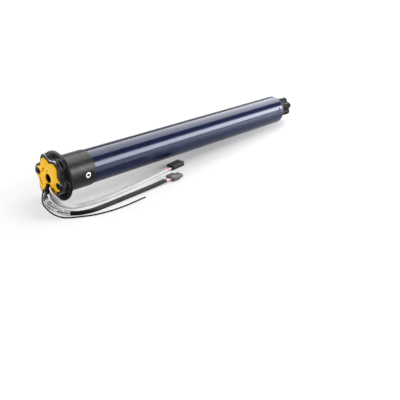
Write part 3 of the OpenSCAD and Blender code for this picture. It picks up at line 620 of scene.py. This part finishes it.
def make_leads():
    """The three leads with their label, conductors and housings."""
    white, white_path = lead("white_lead", "white_cable", WHITE_ROUTE, ribbed_section(), "white_jacket")
    black, black_path = lead("black_lead", "black_cable", BLACK_ROUTE, ribbed_section(), "black_jacket")
    antenna, antenna_path = lead("antenna_lead", "antenna_wire", ANTENNA_ROUTE,
                                 round_section(ANTENNA_R), "black_jacket")
    label = make_label()
    wires = [make_wires("blue_wires", "blue_conductors", 1, "blue_insulation", 0.12),
             make_wires("red_wires", "red_conductors", 0, "red_insulation", 0.35),
             make_wires("pale_wires", "pale_conductors", -1, "pale_insulation", 0.2)]
    socket = soften("socket_shell", "socket_housing", "stator", "chip_black", HOUSING_EDGE)
    plug = soften("plug_shell", "plug_housing", "stator", "plug_grey", HOUSING_EDGE)


# housings and mouldings with rounded edges

def sharp_edges(bm, angle):
    """Edges between two faces that turn by more than an angle."""
    return [e for e in bm.edges if len(e.link_faces) == 2 and e.calc_face_angle(0) > angle]


def round_edges(bm, edges, width):
    """Rounds edges over a width."""
    bmesh.ops.bevel(bm, geom=edges, offset=width * MM, offset_type="OFFSET", segments=EDGE_STEPS,
                    profile=0.5, affect="EDGES", clamp_overlap=False, loop_slide=False)


def soften(name, node, body, slot, width, rim=None, rim_width=0.0, merge=True):
    """A copy of a CAD node with its sharp edges rounded, first and wider where rim(edge) holds."""
    source = nodes[node]
    mesh = source.data.copy()
    mesh.name = name
    piece = place(name, mesh)
    piece.matrix_world = source.matrix_world
    bm = bmesh.new()
    bm.from_mesh(mesh)
    bmesh.ops.remove_doubles(bm, verts=bm.verts, dist=WELD * MM)
    if merge:
        bmesh.ops.dissolve_limit(bm, angle_limit=FLAT, verts=bm.verts, edges=bm.edges)
    if rim:
        round_edges(bm, [e for e in sharp_edges(bm, SHARP) if rim(e)], rim_width)
        round_edges(bm, [e for e in sharp_edges(bm, SHARP_AFTER_RIM) if not rim(e)], width)
    else:
        round_edges(bm, sharp_edges(bm, SHARP), width)
    bmesh.ops.dissolve_degenerate(bm, dist=WELD * MM, edges=bm.edges)
    bm.to_mesh(mesh)
    bm.free()
    mesh.polygons.foreach_set("use_smooth", [True] * len(mesh.polygons))
    mesh.set_sharp_from_angle(angle=SHADE_SPLIT)
    return enlist(piece, slot, body, node)


def front_rim(edge):
    """True on the outer front edge of the star head."""
    return edge.is_convex and all(
        abs(v.co.x) < FRONT_PLAY * MM and math.hypot(v.co.y, v.co.z) > RIM_EDGE_FROM * MM
        for v in edge.verts)


def refinish(piece, finish_name, holds):
    """Gives a second finish to the faces whose centre and normal meet a test."""
    piece.data.materials.append(MATERIALS[finish_name])
    for polygon in piece.data.polygons:
        if holds(polygon.center, polygon.normal):
            polygon.material_index = 1


def on_rim(center, normal):
    """True on the rounded front rim of the star head."""
    return (RIM_LEAN[0] < normal.x < RIM_LEAN[1] and center.x < RIM_WIDTH * MM
            and math.hypot(center.y, center.z) > RIM_FACE_FROM * MM)


def socket_shade(center, normal):
    """True on the sunk faces in the heads of the crown screws, which are painted black as the shade in
    the sockets.
    """
    for clock in BOLT_CLOCKS:
        deep = BOLT_TOP * MM - (center.z * math.cos(clock) - center.y * math.sin(clock))
        aside = center.y * math.cos(clock) + center.z * math.sin(clock)
        if (math.hypot(center.x - BOLT_X * MM, aside) < SOCKET_R * MM
                and SOCKET_FROM * MM < deep < SOCKET_TO * MM):
            return True
    return False


def make_mouldings():
    """The head, its cover, the drive star, the crown and the crown screws."""
    head = soften("head_shell", "head_body", "stator", "black_plastic", HEAD_EDGE, front_rim, RIM_WIDTH)
    refinish(head, "rim_gloss", on_rim)
    soften("cover_plate", "star_cover", "stator", "yellow_plastic", COVER_EDGE, merge=False)
    drive = soften("drive_wheel", "drive_star", "output", "black_plastic", DRIVE_EDGE)
    # the drive star takes the darker copy of the black plastic, a painted shade
    dress(drive, "drive_black_shaded")
    soften("crown_sleeve", "crown", "crown_body", "crown_plastic", CROWN_EDGE)
    bolts = soften("crown_bolts", "crown_screws", "crown_body", "bright_steel", BOLT_EDGE)
    # the sockets of the crown screws take black as painted shade
    refinish(bolts, "chip_black", socket_shade)


# stage

def floor_finish():
    """A pale finish that keeps shadows near the object and runs out to white around it; near the object
    its glow is weaker, a painted shade there on top of the lamps' shadows.
    """
    s = Shader("floor", FLOOR_PALE, 0.3, Specular_IOR_Level=0.15)
    oval = s.add("ShaderNodeVectorMath", operation="DISTANCE")
    oval.inputs[1].default_value = (FLOOR_X * FLOOR_SQUEEZE, FLOOR_Y, 0)
    s.link(s.scaled(s.coords, (FLOOR_SQUEEZE, 1, 0)), oval.inputs[0])
    away = oval.outputs["Value"]
    rays = s.add("ShaderNodeLightPath").outputs
    seen = s.joined("ShaderNodeMath", "ADD", rays["Is Camera Ray"], rays["Is Glossy Ray"])
    seen = s.joined("ShaderNodeMath", "ADD", seen, rays["Is Transmission Ray"], use_clamp=True)
    # the glow is weakest near the object: painted shade around it
    glow = s.joined("ShaderNodeMath", "MULTIPLY",
                    s.grey(away, FLOOR_GLOW, 1.0, FLOOR_NEAR, FLOOR_FAR), seen)
    s.link(s.ramp(away, FLOOR_PALE, FLOOR_OUTER, FLOOR_NEAR, FLOOR_FAR), s.shader.inputs["Base Color"])
    s.shader.inputs["Emission Color"].default_value = (1, 1, 1, 1)
    s.link(glow, s.shader.inputs["Emission Strength"])
    return s.rough(0.26, 0.34, 4).material


def make_floor():
    """A floor along the resting plane that rises far away."""
    verts = []
    for r, rise in FLOOR_RINGS:
        for k in range(FLOOR_SIDES):
            turn = 2 * math.pi * k / FLOOR_SIDES
            x, y = r * math.cos(turn), r * math.sin(turn)
            verts.append((x, y, rest_z(x / MM) * MM + rise))
    faces = [tuple(range(FLOOR_SIDES))]
    for i in range(len(FLOOR_RINGS) - 1):
        for k in range(FLOOR_SIDES):
            a, b = i * FLOOR_SIDES + k, i * FLOOR_SIDES + (k + 1) % FLOOR_SIDES
            faces.append((a, a + FLOOR_SIDES, b + FLOOR_SIDES, b))
    mesh = bpy.data.meshes.new("floor")
    mesh.from_pydata(verts, [], faces)
    mesh.materials.append(floor_finish())
    place("floor", mesh)


def make_lamp(name, at, target, size, watts, rays):
    """A soft rectangular lamp that faces its target, and lights all rays, gloss alone or no gloss."""
    data = bpy.data.lights.new(name, "AREA")
    data.shape = "RECTANGLE"
    data.size, data.size_y = size
    data.energy = watts
    lamp = place(name, data)
    lamp.visible_diffuse = rays != "gloss"
    lamp.visible_glossy = rays != "diffuse"
    lamp.location = at
    lamp.rotation_euler = (Vector(target) - Vector(at)).to_track_quat("-Z", "Y").to_euler()


def make_light():
    """A faint white world and the lamps."""
    world = bpy.data.worlds.new("studio")
    world.use_nodes = True
    background = world.node_tree.nodes["Background"]
    background.inputs["Color"].default_value = (1, 1, 1, 1)
    background.inputs["Strength"].default_value = WORLD_STRENGTH
    bpy.context.scene.world = world
    for lamp in LAMPS:
        make_lamp(*lamp)


bpy.context.scene.view_settings.view_transform = "Standard"
make_camera()
dress_cad()
make_leads()
make_mouldings()
make_floor()
make_light()
